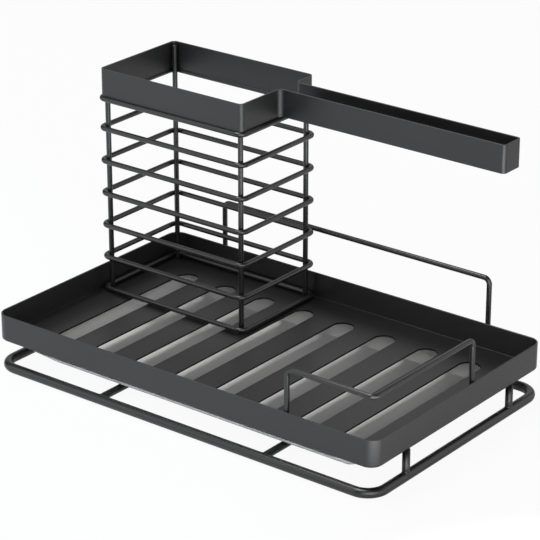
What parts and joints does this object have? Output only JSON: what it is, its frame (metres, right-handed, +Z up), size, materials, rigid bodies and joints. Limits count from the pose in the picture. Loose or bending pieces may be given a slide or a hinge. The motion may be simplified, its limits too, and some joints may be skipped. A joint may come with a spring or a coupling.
{
  "type": "kitchen sink caddy",
  "caption": "Coated steel sink caddy: slotted drain tray on a wire base, lift-out wire brush basket with a towel arm, wire guards and a pull-out drip pan.",
  "frame": {"origin": "on the counter, under the centre of the tray", "axes": "+X to the right along the tray's length, +Y to the rear where the rear guard stands, +Z up"},
  "size_m": [0.2626, 0.1614, 0.1547],
  "materials": {
    "coated_sheet": "satin dark grey powder coat on steel sheet",
    "coated_wire": "satin dark grey powder coat on steel wire",
    "pale_coat": "matt light grey powder coat on steel sheet"
  },
  "bodies": {
    "frame": {"drain_tray": "coated_sheet", "base_ring": "coated_wire", "cross_bar_left": "coated_wire", "cross_bar_right": "coated_wire", "post_front_left": "coated_wire", "post_front_right": "coated_wire", "post_rear_left": "coated_wire", "post_rear_right": "coated_wire", "rear_guard": "coated_wire", "corner_guard": "coated_wire"},
    "basket": {"hoop_1": "coated_wire", "hoop_2": "coated_wire", "hoop_3": "coated_wire", "hoop_4": "coated_wire", "hoop_5": "coated_wire", "hoop_6": "coated_wire", "hoop_7": "coated_wire", "upright_front_left": "coated_wire", "upright_front_right": "coated_wire", "upright_rear_left": "coated_wire", "upright_rear_right": "coated_wire", "rim_band": "coated_sheet"},
    "pan": {"drip_pan": "pale_coat"}
  },
  "joints": [
    {"name": "basket_lift", "type": "slide", "parent": "frame", "child": "basket", "axis": [0, 0, 1], "range_m": [0, 0.06]},
    {"name": "pan_slide", "type": "slide", "parent": "frame", "child": "pan", "axis": [0, -1, 0], "range_m": [0, 0.16]}
  ]
}
